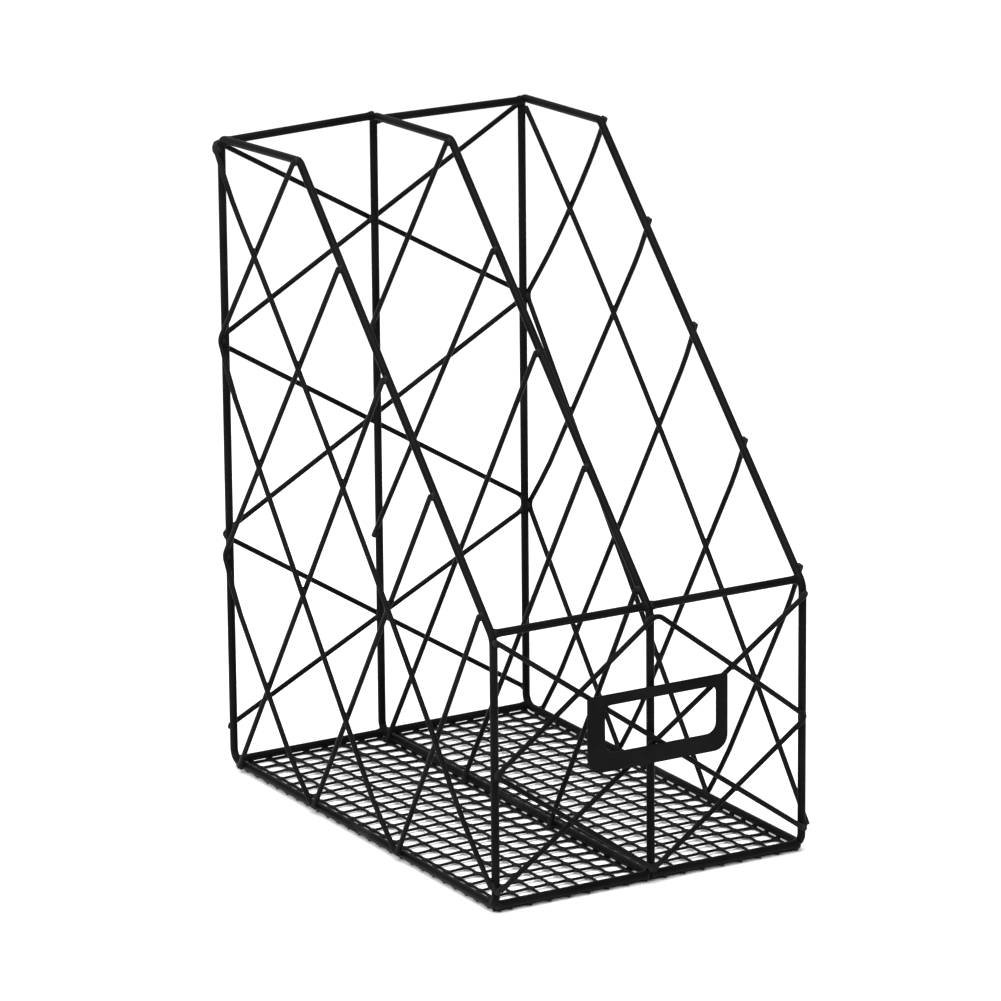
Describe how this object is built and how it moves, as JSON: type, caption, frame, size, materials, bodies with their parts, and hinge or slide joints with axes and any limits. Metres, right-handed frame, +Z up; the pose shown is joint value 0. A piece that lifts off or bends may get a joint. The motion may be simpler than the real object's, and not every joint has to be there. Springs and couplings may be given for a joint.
{
  "type": "magazine file holder",
  "caption": "Open-top desktop magazine file holder of welded wire, with divided compartments, sloping sides, lattice walls, a mesh base and a label plate on its low front.",
  "frame": {"origin": "middle of the footprint, on the surface the holder stands on", "axes": "+Z up, -Y towards the low front, +X to the right as seen from the front"},
  "size_m": [0.1734, 0.2587, 0.3086],
  "materials": {
    "frame_coat": "satin",
    "lattice_coat": "satin",
    "mesh_coat": "satin",
    "plate_coat": "satin"
  },
  "bodies": {
    "root": {"back_bottom_rail_left": "frame_coat", "back_bottom_rail_right": "frame_coat", "back_top_rail_left": "frame_coat", "back_top_rail_right": "frame_coat", "back_zigzag_left": "lattice_coat", "back_zigzag_right": "lattice_coat", "base_mesh": "mesh_coat", "divider_diagonal_1": "lattice_coat", "divider_diagonal_2": "lattice_coat", "divider_diagonal_3": "lattice_coat", "divider_diagonal_4": "lattice_coat", "divider_diagonal_5": "lattice_coat", "divider_frame": "frame_coat", "front_bottom_rail_left": "frame_coat", "front_bottom_rail_right": "frame_coat", "front_diagonal_falling": "lattice_coat", "front_diagonal_rising": "lattice_coat", "front_diamond": "lattice_coat", "front_top_rail_left": "frame_coat", "front_top_rail_right": "frame_coat", "label_holder": "plate_coat", "left_long_diagonal": "lattice_coat", "left_short_diagonal": "lattice_coat", "left_side_frame": "frame_coat", "left_zigzag_lower": "lattice_coat", "left_zigzag_upper": "lattice_coat", "right_long_diagonal": "lattice_coat", "right_short_diagonal": "lattice_coat", "right_side_frame": "frame_coat", "right_zigzag_lower": "lattice_coat", "right_zigzag_upper": "lattice_coat"}
  },
  "joints": []
}
